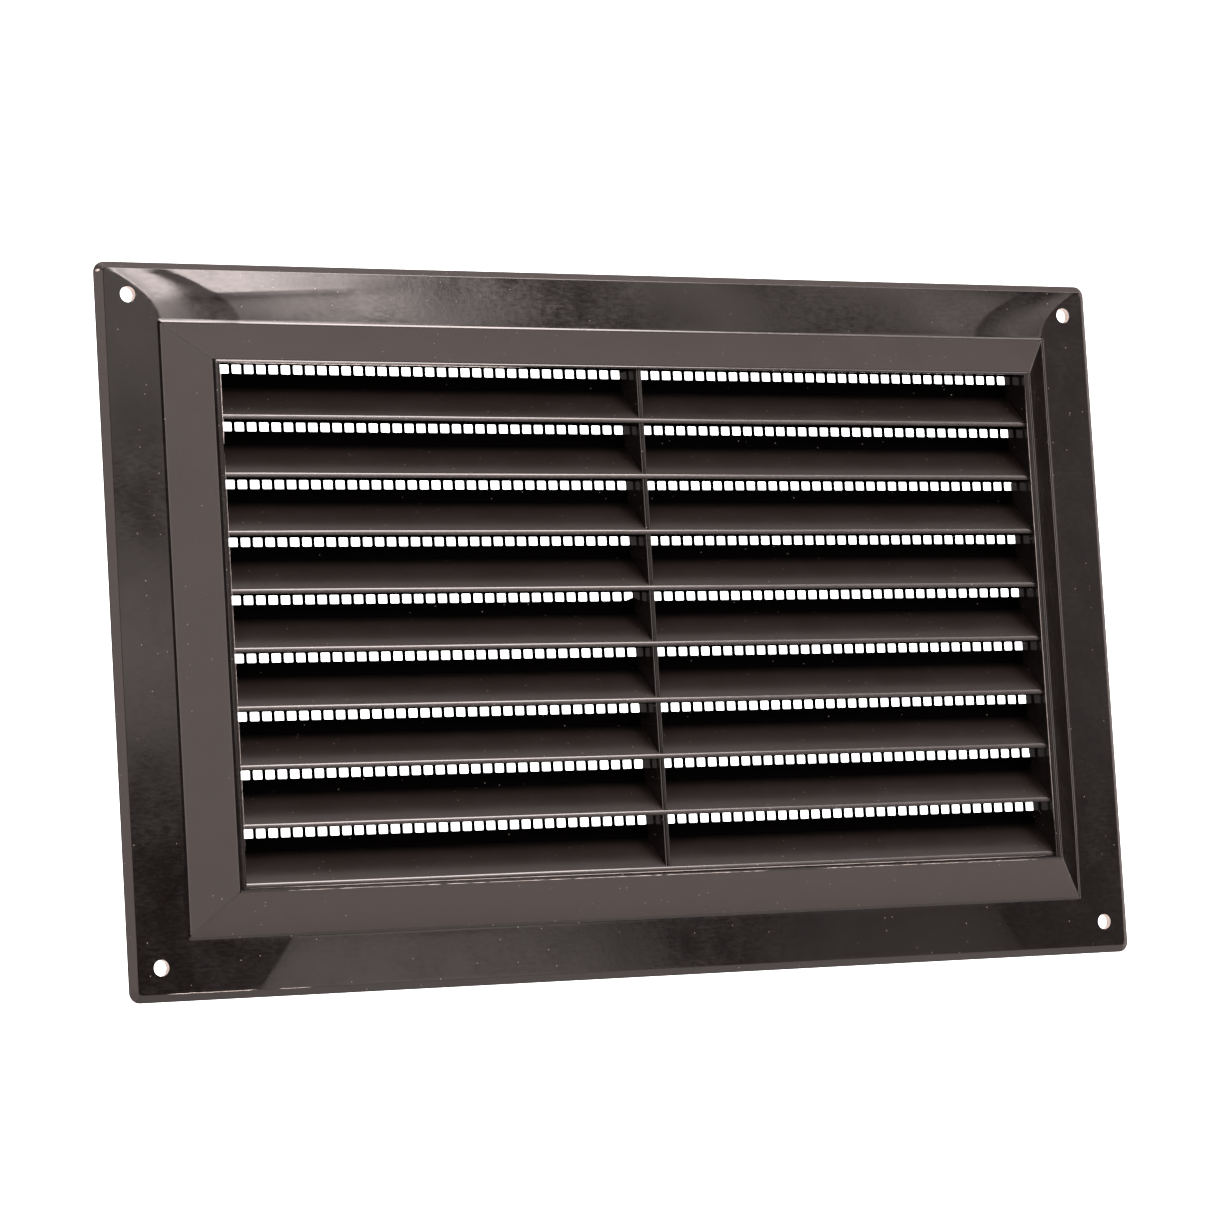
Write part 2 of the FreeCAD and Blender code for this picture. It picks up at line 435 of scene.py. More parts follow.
def shape_front(place):
    """Moves a point of the flange as the moulding has set: leaning, dished and a little wavy."""
    depth = -place.y
    x, z = place.x, place.z
    across, up = abs(x) - foot_half[0], abs(z) - foot_half[1]
    outside = max(across, up)
    # The front of the flange, and the rounds at its edges
    if outside > -0.7 and flange_depth_outside - 0.2 < depth < flange_depth_inside + 0.4:
        share = max(across / (flat_half[0] - foot_half[0]), up / (flat_half[1] - foot_half[1]), 0.0)
        fall = (flange_depth_inside - flange_depth_outside) * min(share, 1.0)
        place.y += flange_drop(x, z) - fall
        loose = smooth(0.0, 2.5, outside) * smooth(0.0, 2.0, flange_width_top - rim_chamfer - outside)
        length, below, above, band = broad_wave
        place.y += loose * mix(below, above, smooth(*band, z)) * wave(place, length, 3.1)
        length, below, above, band = fine_wave
        drawn_out = Vector((0.4 * x, 0, z))
        place.y += loose * mix(below, above, smooth(*band, z)) * wave(drawn_out, length, 8.7)
    return place


def on_mitre(edge):
    """Test for the four edges where two sloped sides meet at a corner."""
    run = (edge.verts[1].co - edge.verts[0].co) / MM
    slanted = min(abs(run.x), abs(run.z)) > 2.0 and abs(run.y) > 3.0
    in_front = all(vertex.co.y < -(flange_depth_inside - 0.5) * MM for vertex in edge.verts)
    outside = any(abs(vertex.co.x) > opening_front_half[0] * MM for vertex in edge.verts)
    return slanted and in_front and outside


def cut_rails(axis, cuts):
    """Divides the edges that run along the four sides, 0 for the long sides and 2 for the short ones."""
    beyond = 0.95 * opening_front_half[1 if axis == 0 else 0]

    def test(edge):
        run = edge.verts[1].co - edge.verts[0].co
        along = abs(run[axis]) > 0.9999 * run.length
        return along and abs(edge.verts[0].co[2 - axis]) > beyond * MM
    pick("EDGE", test)
    bpy.ops.mesh.subdivide(number_cuts=cuts)


def cut_rungs(depth, least_fall, cuts):
    """Divides the short edges that cross the flange from its outer strip to the foot."""
    def test(edge):
        depths = sorted(-vertex.co.y / MM for vertex in edge.verts)
        return abs(depths[0] - depth) < 0.005 and depths[1] - depths[0] > least_fall
    pick("EDGE", test)
    bpy.ops.mesh.subdivide(number_cuts=cuts)


def on_flat_edge(edge):
    """Test for an edge where the rim's chamfer meets the flange."""
    return all(abs(vertex.co.y / MM + flange_depth_outside) < 0.005 for vertex in edge.verts)


def make_frame():
    """Rim, flange and raised frame, modelled as one closed section that runs round the opening."""
    piece = new_plane("moulded_frame", rim_half, 0.0)
    bpy.ops.mesh.bevel(offset=rim_corner_radius * MM, segments=8, affect="VERTICES")
    pick("FACE", lambda face: True)
    next_ring(rim_half, rim_edge)
    inset_ring(rim_chamfer, flat_half, flange_depth_outside)
    # A narrow strip inside the chamfer takes up the round corners, whose points then merge into one
    strip_width = rim_corner_radius - rim_chamfer - 0.03
    strip_half = (flat_half[0] - strip_width, flat_half[1] - strip_width)
    strip_share = strip_width / (flat_half[0] - foot_half[0])
    strip_depth = mix(flange_depth_outside, flange_depth_inside, strip_share)
    inset_ring(strip_width, strip_half, strip_depth)
    bpy.ops.mesh.remove_doubles(threshold=0.3 * MM)
    place_ring(strip_half, strip_depth)
    inset_ring(flat_half[0] - foot_half[0] - strip_width, foot_half, flange_depth_inside)
    next_ring(lip_half, frame_depth)
    inset_ring(0.5, opening_front_half, frame_depth)
    next_ring(opening_back_half, screen_front_depth)
    next_ring(wall_half(screen_front_depth), screen_front_depth)
    next_ring(wall_half(frame_hollow_depth), frame_hollow_depth)
    next_ring(hollow_half(frame_hollow_depth), frame_hollow_depth)
    next_ring(hollow_half(flange_recess), flange_recess)
    recess_half = (rim_half[0] - rim_width, rim_half[1] - rim_width)
    next_ring(recess_half, flange_recess)
    next_ring(recess_half, 0.0)
    pick("FACE", lambda face: all(abs(vertex.co.y) < 0.001 * MM for vertex in face.verts))
    bpy.ops.mesh.delete(type="ONLY_FACE")
    pick("EDGE", lambda edge: edge.is_boundary)
    bpy.ops.mesh.bridge_edge_loops()
    pick("EDGE", on_flat_edge)
    soften(rim_round, 3)
    round_ring(foot_half, flange_depth_inside, foot_round, 4)
    round_ring(lip_half, frame_depth, lip_round, 4)
    round_ring(opening_front_half, frame_depth, opening_round, 3)
    pick("EDGE", on_mitre)
    soften(mitre_round, 1)
    # Cuts in two rounds, for points about 0.7 mm apart that can follow the flange's shape
    cut_rails(0, 20)
    cut_rails(0, 17)
    cut_rails(2, 12)
    cut_rails(2, 17)
    cut_rungs(strip_depth, 0.1, 20)
    bpy.ops.mesh.select_all(action="SELECT")
    bpy.ops.mesh.normals_make_consistent(inside=False)
    to_object()
    for vertex in piece.data.vertices:
        vertex.co = shape_front(vertex.co / MM) * MM
    return piece


def make_drill(middle):
    """Tool body for one screw hole, which widens in a fine flare at the front."""
    x, z = middle
    flare_start = flange_depth_inside - screw_flange_fall - screw_hole_flare
    flare_run = 0.6
    drill = new_cylinder(screw_hole_radius, 64, middle, -1.0, flare_start)
    bpy.ops.object.transform_apply()
    to_edit(drill)
    pick("FACE", lambda face: face.normal.y < -0.9)
    bpy.ops.mesh.extrude_region_move()
    bpy.ops.transform.translate(value=(0, -flare_run * MM, 0))
    flare = (screw_hole_radius + flare_run) / screw_hole_radius
    bpy.ops.transform.resize(value=(flare, 1, flare), center_override=(x * MM, 0, z * MM))
    to_object()
    return drill


def drill_screw_holes(piece):
    """Pads behind the flange, and four holes through them."""
    pads, drills = [], []
    for sx in (-1, 1):
        for sz in (-1, 1):
            middle = (sx * screw_half[0], sz * screw_half[1])
            pads.append(new_cylinder(screw_pad_radius, 48, middle, 0.0, flange_recess + screw_pad_sink))
            drills.append(make_drill(middle))
    pad = join(pads, "pads")
    bpy.ops.object.transform_apply()
    combine(piece, pad, "UNION")
    combine(piece, join(drills, "drills"), "DIFFERENCE")


def slat_height(row):
    """Height of the top of a slat's front edge. Row 0 is the lowest."""
    return lowest_slat + louvre_pitch * row


def make_slat(row):
    """One sloped slat with soft front edges, a little wavy along its length."""
    front = slat_height(row)
    reach = opening_front_half[0] + slat_sink
    piece = new_block(f"louvre_slat_{row + 1}", (-reach, screen_front_depth, front - slat_edge),
                      (reach, slat_depth, front))
    pick("VERT", lambda vertex: vertex.co.y > -(screen_front_depth + 0.01) * MM)
    growth = slat_back / slat_edge
    bpy.ops.transform.resize(value=(1, 1, growth), center_override=(0, 0, front * MM))
    bpy.ops.transform.translate(value=(0, 0, slat_rise * MM))
    rounds = ((front, slat_round, slat_round_profile), (front - slat_edge, slat_round_below, 0.5))
    for height, radius, profile in rounds:
        pick("EDGE", lambda edge: abs(edge.verts[0].co.x - edge.verts[1].co.x) > reach * MM
             and all(vertex.co.y < -(slat_depth - 0.01) * MM and abs(vertex.co.z / MM - height) < 0.01
                     for vertex in edge.verts))
        soften(radius, 3, profile)
    pick("VERT", lambda vertex: vertex.co.y < -(slat_depth - 0.3) * MM
         and vertex.co.z / MM < front - slat_edge + slat_round_below + 0.01)
    bpy.ops.transform.translate(value=(0, -slat_lean * MM, 0))
    cut_across(0, slat_cuts)
    to_object()
    for vertex in piece.data.vertices:
        place = vertex.co / MM
        # Each slat reads the waves at a height of its own, and is held by the walls and the rib
        line = Vector((place.x, 0, 40.0 * row))
        loose = smooth(reach, reach - 12.0, abs(place.x)) * smooth(1.5, 9.0, abs(place.x))
        front_share = smooth(screen_front_depth, slat_depth, -place.y)
        place.z += slat_bow[0] * wave(line, slat_bow[1], 1.7) * loose * front_share
        place.y += slat_ripple[0] * wave(line, slat_ripple[1], 5.3) * loose * front_share
        vertex.co = place * MM
    return piece


def make_rib():
    """Upright rib in the middle of the louvres, narrower and rounded at the front."""
    half_height = opening_front_half[1] + rib_sink
    piece = new_block("centre_rib", (-rib_back / 2, screen_front_depth, -half_height),
                      (rib_back / 2, rib_depth, half_height))
    pick("VERT", lambda vertex: vertex.co.y < -(rib_depth - 0.01) * MM)
    bpy.ops.transform.resize(value=(rib_front / rib_back, 1, 1), center_override=(0, 0, 0))
    pick("EDGE", lambda edge: all(vertex.co.y < -(rib_depth - 0.01) * MM for vertex in edge.verts)
         and abs(edge.verts[0].co.z - edge.verts[1].co.z) > half_height * MM)
    soften(rib_round, 5)
    cut_across(2, slat_cuts)
    to_object()
    for vertex in piece.data.vertices:
        place = vertex.co / MM
        place.x += rib_shift + rib_wave[0] * wave(Vector((0, 0, place.z)), rib_wave[1], 2.9)
        vertex.co = place * MM
    return piece


def make_gusset(axis, sign, middle, inner, roof, base):
    """One thin web that runs out along an axis and follows the slope of the side."""
    near, far = sorted((sign * (inner - gusset_sink), sign * (base + gusset_sink)))
    corners = [(middle - gusset_thickness / 2, middle + gusset_thickness / 2),
               (flange_recess, frame_hollow_depth + gusset_sink), (near, far)]
    if axis == 0:
        corners.reverse()
    piece = new_block("gusset", [pair[0] for pair in corners], [pair[1] for pair in corners])
    pick("VERT", lambda vertex: -vertex.co.y / MM > frame_hollow_depth
         and abs(vertex.co[axis] / MM - sign * (base + gusset_sink)) < 0.01)
    shift = [0, 0, 0]
    shift[axis] = sign * (roof - base) * MM
    bpy.ops.transform.translate(value=shift)
    pick("FACE", lambda face: face.normal.y > 0.9)
    soften(gusset_round, 2)
    to_object()
    return piece


def make_gussets():
    """Thin webs behind the sloped sides, from the walls of the opening outwards."""
    blocks = []
    walls, roof, base = wall_half(flange_recess), hollow_half(frame_hollow_depth), hollow_half(flange_recess)
    for sign in (-1, 1):
        for i in range(gussets_across):
            x = walls[0] * (2 * (i + 0.5) / gussets_across - 1)
            blocks.append(make_gusset(2, sign, x, walls[1], roof[1], base[1]))
        for i in range(gussets_up):
            z = walls[1] * (2 * (i + 0.5) / gussets_up - 1)
            blocks.append(make_gusset(0, sign, z, walls[0], roof[0], base[0]))
    return join(blocks, "back_gussets")


def make_nib(low, high):
    """One block with soft edges where it stands next to the wall."""
    piece = new_block("nib", low, high)
    pick("EDGE", lambda edge: all(vertex.co.y > -0.01 * MM for vertex in edge.verts))
    soften(nib_round, 3)
    to_object()
    return piece


def make_nibs():
    """Hooked blocks outside the walls that hold the edge of the fly screen."""
    blocks = []
    walls = wall_half(screen_front_depth)
    half = nib_length / 2
    for sign in (-1, 1):
        for x in (-nib_across, 0.0, nib_across):
            near, far = sorted((sign * (walls[1] - nib_overlap), sign * (walls[1] + nib_thickness)))
            blocks.append(make_nib((x - half, 0.0, near), (x + half, nib_root, far)))
        for z in (-nib_up, nib_up):
            near, far = sorted((sign * (walls[0] - nib_overlap), sign * (walls[0] + nib_thickness)))
            blocks.append(make_nib((near, 0.0, z - half), (far, nib_root, z + half)))
    return join(blocks, "screen_nibs")


def make_sliver(start, end, width, raggedness, seed):
    """Thin pale sliver along a line between two places given as across, depth and up, ragged like torn
    plastic.
    """
    start, end = Vector(start), Vector(end)
    run = end - start
    axis = 0 if abs(run.x) > abs(run.z) else 2
    half = Vector((width / 2,) * 3)
    half[axis] = 0
    low = [min(a, b) for a, b in zip(start, end)]
    high = [max(a, b) for a, b in zip(start, end)]
    piece = new_block("flash", [a - b for a, b in zip(low, half)], [a + b for a, b in zip(high, half)])
    cut_across(axis, int(run.length / sliver_step))
    to_object()
    for vertex in piece.data.vertices:
        place = vertex.co / MM
        share = (place[axis] - low[axis]) / (high[axis] - low[axis])
        middle = Vector(low).lerp(Vector(high), share)
        middle.y = -middle.y
        along = Vector((place[axis], 0, 0))
        thin = 0.15 + 0.85 * smooth(0.0, 0.1, share) * smooth(1.0, 0.9, share)
        thin *= 0.55 + 0.45 * wave(along, sliver_thinning, seed)
        away = (place - middle) * thin
        away[2 - axis] += raggedness * wave(along, sliver_wander, seed + 4.0)
        vertex.co = (middle + away) * MM
    return piece


def make_flash_and_highlights():
    """Torn mould flash, whitened where it was pulled, and painted highlights, as pale slivers along the
    lips, the rim and one rim corner.
    """
    left, right = 0.05 - opening_front_half[0], opening_front_half[0] - 0.05
    inner, outer = 58.23, 58.98     # heights of the inner and outer edge of the upper and lower lip
    lip = frame_depth - 0.11        # depths of the edges that the slivers lie on
    outer_lip = lip - 0.09
    flange, rim = 1.97, 0.35
    slivers = [
        # Inner edge of the left lip, torn widest at its upper end
        ((left, lip, 40.0), (left, lip, 58.3), 0.2, 0.06, 1.0),
        ((left + 0.02, lip, -50.0), (left + 0.02, lip, 38.0), 0.09, 0.03, 11.0),
        # Outer edge of the left lip, at its upper end
        ((left - 1.45, lip - 0.08, 47.0), (left - 1.45, lip - 0.08, 58.5), 0.2, 0.08, 2.0),
        # Inner edges of the upper and the lower lip, as painted highlight lines
        ((left + 0.2, lip - 0.02, inner), (-30.0, lip - 0.02, inner), 0.22, 0.04, 3.0),
        ((left + 0.4, lip, -inner), (right - 3.0, lip, -inner), 0.17, 0.02, 12.0),
        # Outer edge of the lower lip, as a painted highlight line
        ((left + 1.0, outer_lip, -outer), (34.0, outer_lip, -outer), 0.32, 0.04, 9.0),
        ((36.0, lip - 0.06, -outer), (right - 2.0, lip - 0.06, -outer), 0.24, 0.03, 10.0),
        # Inner edge of the right lip
        ((right, lip, -52.0), (right, lip, 55.0), 0.1, 0.02, 13.0),
        # Left end of the bottom flange, along the chamfer
        ((-122.5, flange, -80.28), (-101.0, flange, -80.28), 0.2, 0.12, 4.0),
        ((-96.0, flange, -80.33), (-88.0, flange, -80.33), 0.14, 0.05, 5.0),
        # Upper left corner of the rim, as a painted highlight
        ((-130.5, 0.8, 79.8), (-128.7, 1.3, 79.9), 0.8, 0.1, 6.0),
        # Lower edge of the rim, as painted glints
        ((12.0, rim, -81.85), (31.0, rim, -81.85), 0.22, 0.05, 7.0),
        ((58.0, rim, -81.85), (74.0, rim, -81.85), 0.24, 0.05, 8.0),
    ]
    return join([make_sliver(*sliver) for sliver in slivers], "mould_flash_and_painted_highlights")


def cell_border(x, z):
    """The place on the border of a screen cell that belongs to a point of its hole's outline. The
    middle point of a rounded corner belongs to two borders, and so to the cell's corner."""
    at_side = abs(x) > screen_hole_width / 2 - 0.15
    at_end = abs(z) > screen_hole_height / 2 - 0.15
    across = math.copysign(screen_pitch / 2, x) if at_side else x
    up = math.copysign(louvre_pitch / 2, z) if at_end else z
    return across, up


def draw_cell(net, middle):
    """Turns the open hole outline into a cell, a frame of faces round the hole, at its place."""
    bpy.ops.mesh.bevel(offset=screen_hole_round * MM, segments=2, affect="VERTICES")
    bpy.ops.mesh.select_all(action="SELECT")
    bpy.ops.mesh.delete(type="ONLY_FACE")
    bpy.ops.mesh.select_all(action="SELECT")
    bpy.ops.mesh.extrude_edges_move()
    shape = bmesh.from_edit_mesh(net.data)
    for vertex in shape.verts:
        if vertex.select:
            x, z = cell_border(vertex.co.x / MM, vertex.co.z / MM)
            vertex.co.x, vertex.co.z = x * MM, z * MM
    bmesh.update_edit_mesh(net.data)
    bpy.ops.mesh.select_all(action="SELECT")
    bpy.ops.transform.translate(value=(middle[0] * MM, 0, middle[1] * MM))
    to_object()


def draw_border(net, outer, bottom, top):
    """Draws the outer edges of the open net out to the edge of the screen."""
    pick("EDGE", lambda edge: edge.is_boundary
         and (all(abs(vertex.co.x / MM) > outer - 0.01 for vertex in edge.verts)
              or all(not bottom + 0.01 < vertex.co.z / MM < top - 0.01 for vertex in edge.verts)))
    bpy.ops.mesh.extrude_edges_move()
    shape = bmesh.from_edit_mesh(net.data)
    for vertex in shape.verts:
        if vertex.select:
            x, z = vertex.co.x / MM, vertex.co.z / MM
            if abs(x) > outer - 0.01:
                vertex.co.x = math.copysign(screen_half[0], x) * MM
            if z > top - 0.01:
                vertex.co.z = screen_half[1] * MM
            if z < bottom + 0.01:
                vertex.co.z = -screen_half[1] * MM
    bmesh.update_edit_mesh(net.data)


def make_strips():
    """Level strips that stand behind the net, between its rows of holes."""
    strips = []
    rows = [slat_height(row) + screen_hole_rise for row in range(louvre_rows)]
    past_hole = screen_hole_height / 2 + strip_clearance
    bottoms = [-screen_half[1]] + [height + past_hole for height in rows]
    tops = [height - past_hole for height in rows] + [screen_half[1]]
    for bottom, top in zip(bottoms, tops):
        strips.append(new_block("strip", (-screen_half[0], screen_back_depth, bottom),
                                (screen_half[0], screen_back_depth + screen_strips, top)))
        to_object()
    return strips


def make_wedge():
    """Wedge in the lower right corner of one hole beside the rib, which the moulding left part closed."""
    right = rib_shift - rib_back / 2
    low = slat_height(wedge_row) + screen_hole_rise - screen_hole_height / 2
    front = screen_front_depth - wedge_recess
    wedge = new_block("wedge", (right - screen_hole_width, front - wedge_thickness, low - wedge_sink),
                      (right + wedge_sink, front, low + wedge_height))
    middle = right - screen_hole_width / 2
    pick("VERT", lambda vertex: vertex.co.x / MM < middle and vertex.co.z / MM > low)
    bpy.ops.transform.translate(value=(0, 0, -wedge_fall * MM))
    to_object()
    return wedge


def make_screen():
    """Fly screen. One cell with a soft-cornered hole is repeated along the rows and up the rows, the
    border and the middle strip are drawn out from it, and level strips stand behind."""
    first = rib_back / 2 + screen_hole_width / 2
    lowest = slat_height(0) + screen_hole_rise
    net = new_plane("fly_screen_mesh", (screen_hole_width / 2, screen_hole_height / 2), screen_front_depth)
    draw_cell(net, (first, lowest))
    repeat(net, screen_holes_per_half, (screen_pitch, 0, 0))
    repeat(net, louvre_rows, (0, 0, louvre_pitch))
    mirror = net.modifiers.new("halves", "MIRROR")
    mirror.use_axis = (True, False, False)
    bpy.ops.object.modifier_apply(modifier=mirror.name)
    to_edit(net)
    inner = first - screen_pitch / 2
    pick("EDGE", lambda edge: edge.is_boundary
         and all(abs(abs(vertex.co.x / MM) - inner) < 0.01 for vertex in edge.verts))
    bpy.ops.mesh.bridge_edge_loops()
    bpy.ops.mesh.select_all(action="SELECT")
    bpy.ops.transform.translate(value=(rib_shift * MM, 0, 0))
    outer = first + (screen_holes_per_half - 0.5) * screen_pitch - rib_shift
    bottom = lowest - louvre_pitch / 2
    draw_border(net, outer, bottom, bottom + louvre_rows * louvre_pitch)
    thicken(screen_front_depth - screen_back_depth - screen_strips)
    return join([net] + make_strips() + [make_wedge()], net.name)


def linear(code):
    """A colour given as an sRGB hex code, as linear values."""
    parts = [int(code[i:i + 2], 16) / 255 for i in (0, 2, 4)]
    return [p / 12.92 if p <= 0.04045 else ((p + 0.055) / 1.055) ** 2.4 for p in parts] + [1.0]


def add_node(tree, kind, inputs=None, **settings):
    """Adds a node and sets its properties. An input is given as a value, or as the output of another
    node, which is linked to it."""
    node = tree.nodes.new(kind)
    for name, value in settings.items():
        setattr(node, name, value)
    for name, value in (inputs or {}).items():
        if isinstance(value, bpy.types.NodeSocket):
            tree.links.new(value, node.inputs[name])
        else:
            node.inputs[name].default_value = value
    return node


def wear_marks(tree, place):
    """Soft clouds and short level wipe marks, as one pattern from 0 to 1."""
    clouds = add_node(tree, "ShaderNodeTexNoise", {"Vector": place, "Scale": 1 / cloud_size, "Detail": 3.0})
    stretch = tuple(1 / size for size in wipe_size)
    stretched = add_node(tree, "ShaderNodeVectorMath", {0: place, 1: stretch}, operation="MULTIPLY")
    wiped = add_node(tree, "ShaderNodeTexNoise",
                     {"Vector": stretched.outputs[0], "Scale": 1.0, "Detail": 2.0})
    marks = add_node(tree, "ShaderNodeMath", {0: clouds.outputs[0], 1: wiped.outputs[0]},
                     operation="MULTIPLY")
    return marks.outputs[0]


def dust_specks(tree, place):
    """Specks of dust in two fifths of the cells of a loose net. Real dust is finer: a quarter of a
    millimetre is as coarse as a speck has to be to show."""
    grains = add_node(tree, "ShaderNodeTexVoronoi", {"Vector": place, "Scale": 1 / dust_spacing})
    near = add_node(tree, "ShaderNodeMapRange",
                    {"Value": grains.outputs["Distance"], "From Min": dust_outer / dust_spacing,
                     "From Max": dust_inner / dust_spacing})
    chosen = add_node(tree, "ShaderNodeSeparateColor", {0: grains.outputs["Color"]})
    rare = add_node(tree, "ShaderNodeMath", {0: chosen.outputs[0], 1: 0.6}, operation="GREATER_THAN")
    specks = add_node(tree, "ShaderNodeMath", {0: near.outputs[0], 1: rare.outputs[0]},
                      operation="MULTIPLY")
    return specks.outputs[0]


def moulded_plastic(name, colour, roughness, specular=0.5, haze=0.0, root=0.0):
    """Moulded polystyrene with soft clouds, fine wipe marks, dust and the orange peel of its mould. The
    haze is how much paler it is where it is clouded. Over the root, a distance in front of the screen,
    it is painted darker to black, as painted shade where little light reaches."""
    made = bpy.data.materials.new(name)
    made.use_nodes = True
    tree = made.node_tree
    shader = tree.nodes["Principled BSDF"]
    shader.inputs["Specular IOR Level"].default_value = specular
    shader.inputs["IOR"].default_value = plastic_ior
    metres = add_node(tree, "ShaderNodeTexCoord").outputs["Object"]
    place = add_node(tree, "ShaderNodeVectorMath", {0: metres, 1: (1 / MM,) * 3},
                     operation="MULTIPLY").outputs[0]
    # The marks change the gloss a little
    marks = wear_marks(tree, place)
    rough = add_node(tree, "ShaderNodeMapRange",
                     {"Value": marks, "From Min": 0.16, "From Max": 0.42,
                      "To Min": roughness, "To Max": roughness + 0.05})
    tree.links.new(rough.outputs[0], shader.inputs["Roughness"])
    # They also leave the surface a shade paler
    clear = linear(colour)
    pale = [share + haze for share in clear[:3]] + [1.0]
    hazy = add_node(tree, "ShaderNodeMapRange", {"Value": marks, "From Min": 0.14, "From Max": 0.4})
    surface = add_node(tree, "ShaderNodeMix", {"Factor": hazy.outputs[0], "A": clear, "B": pale},
                       data_type="RGBA")
    # Painted shade: the colour goes to black over the root in front of the screen, where little light
    # reaches
    if root:
        depth = add_node(tree, "ShaderNodeSeparateXYZ", {0: place})
        ahead = add_node(tree, "ShaderNodeMapRange",
                         {"Value": depth.outputs["Y"], "From Min": -screen_front_depth,
                          "From Max": -screen_front_depth - root})
        surface = add_node(tree, "ShaderNodeMix",
                           {"Factor": ahead.outputs[0], "A": linear("000000"),
                            "B": surface.outputs["Result"]}, data_type="RGBA")
    dusty = add_node(tree, "ShaderNodeMix",
                     {"Factor": dust_specks(tree, place), "A": surface.outputs["Result"],
                      "B": linear(dust_colour)}, data_type="RGBA")
    tree.links.new(dusty.outputs["Result"], shader.inputs["Base Color"])
    # Fine orange peel of the mould, as a height far below what can be felt
    peel = add_node(tree, "ShaderNodeTexNoise", {"Vector": place, "Scale": 1 / peel_size, "Detail": 2.0})
    relief = add_node(tree, "ShaderNodeBump",
                      {"Height": peel.outputs[0], "Strength": 0.05 + 0.2 * roughness,
                       "Distance": peel_height * MM})
    tree.links.new(relief.outputs[0], shader.inputs["Normal"])
    return made


def add_material(piece, material, test):
    """Gives a second material to the faces of a finished piece that pass a test."""
    piece.data.materials.append(material)
    for face in piece.data.polygons:
        if test(face.center / MM, face.normal):
            face.material_index = len(piece.data.materials) - 1


def finish(piece, material, slot, smooth_angle=35):
    """Gives a finished piece its material, shading and body, and hides the imported moulding that it stands
    for, which the slot names.
    """
    piece.data.materials.clear()
    piece.data.materials.append(material)
    bpy.ops.object.select_all(action="DESELECT")
    piece.select_set(True)
    bpy.context.view_layer.objects.active = piece
    bpy.ops.object.shade_smooth_by_angle(angle=math.radians(smooth_angle))
    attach(piece, "root")
    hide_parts("fly_screen" if slot == "screen_plastic" else "louvre_grille")


def keep_flat(piece):
    """Wide faces keep their own normal, so that the light bends on the rounded edges alone."""
    weighted = piece.modifiers.new("Weighted", "WEIGHTED_NORMAL")
    weighted.keep_sharp = True
    bpy.ops.object.modifier_apply(modifier=weighted.name)


def on_texture_and_painted_light(place, normal):
    """Test for the faces in the paler textured finish: the rim's outer side, except along the bottom, and
    the sloped sides, except the right one and the upper left mitre. The split follows how the light falls,
    so the paler colour is partly painted light and the dark gloss kept beside it partly painted shade."""
    sloped = flange_depth_inside + 0.3 < -place.y < frame_depth - 0.3 and -0.9 < normal.y < -0.5
    kept_gloss = normal.x >= 0.3 or (normal.x < -0.1 and normal.z > 0.1)
    beyond = abs(place.x) > flat_half[0] - 0.05 or place.z > flat_half[1] - 0.05
    return (sloped and not kept_gloss) or (beyond and normal.y < 0.3)


def in_screw_hole(place, normal):
    """Test for the walls of the screw holes, which are painted pale as painted light, the light from behind
    that shows white on them.
    """
    across, up = abs(place.x) - screw_half[0], abs(place.z) - screw_half[1]
    return math.hypot(across, up) < screw_hole_radius + 0.06 and abs(normal.y) < 0.5


def on_slat_edge(place, normal):
    """Test for the rounds along a slat's front edge, without the flat strip between them."""
    return -place.y > slat_depth - 0.35 and normal.y < -0.3 and abs(normal.z) > 0.15


def make_plastics():
    """The vent's polystyrene, in the finishes that its mould, its place and its wear have given it."""
    # Off a polished mould: almost black brown, in which the room shows as sharp, pale reflections
    gloss = moulded_plastic("glossy_polystyrene", "120E0D", 0.08, haze=0.006)
    # Off a finely etched mould: greyer brown, lit evenly and with no reflection that can be made out; its
    # paler colour, on the sides that face the light, is partly painted light
    textured_and_lit = moulded_plastic("textured_and_painted_light_polystyrene", "302A28", 0.4, haze=0.004)
    # Off a plain mould: a soft sheen on the slats, with painted shade that takes them to black where they
    # meet the screen
    satin = moulded_plastic("satin_polystyrene", "241E1C", 0.28, haze=0.002, root=1.9)
    # The net, dull and in deep shade: it reads as black between the slats
    matt = moulded_plastic("matt_polystyrene", "030202", 0.6, 0.01)
    # Torn and stressed polystyrene turns a dull, pale cream; the same pale colour paints the highlights of
    # some slivers and the light on the walls of the screw holes
    whitened_and_lit = moulded_plastic("whitened_and_painted_light_polystyrene", "DDD5D0", 0.45)
    return gloss, textured_and_lit, satin, matt, whitened_and_lit


def make_pieces():
    """All pieces of the vent, each with its material."""
    gloss, textured_and_lit, satin, matt, whitened_and_lit = make_plastics()
    body = make_frame()
    drill_screw_holes(body)
    finish(body, gloss, "brown_plastic")
    keep_flat(body)
    add_material(body, textured_and_lit, on_texture_and_painted_light)
    # Painted light: the walls of the screw holes are painted pale, as lit white from behind
    add_material(body, whitened_and_lit, in_screw_hole)
    for row in range(louvre_rows):
        slat = make_slat(row)
        finish(slat, satin, "brown_plastic")
        add_material(slat, gloss, on_slat_edge)
    finish(make_rib(), gloss, "brown_plastic")
    finish(make_gussets(), satin, "brown_plastic")
    finish(make_nibs(), satin, "brown_plastic")
    finish(make_flash_and_highlights(), whitened_and_lit, "brown_plastic")
    finish(make_screen(), matt, "screen_plastic")


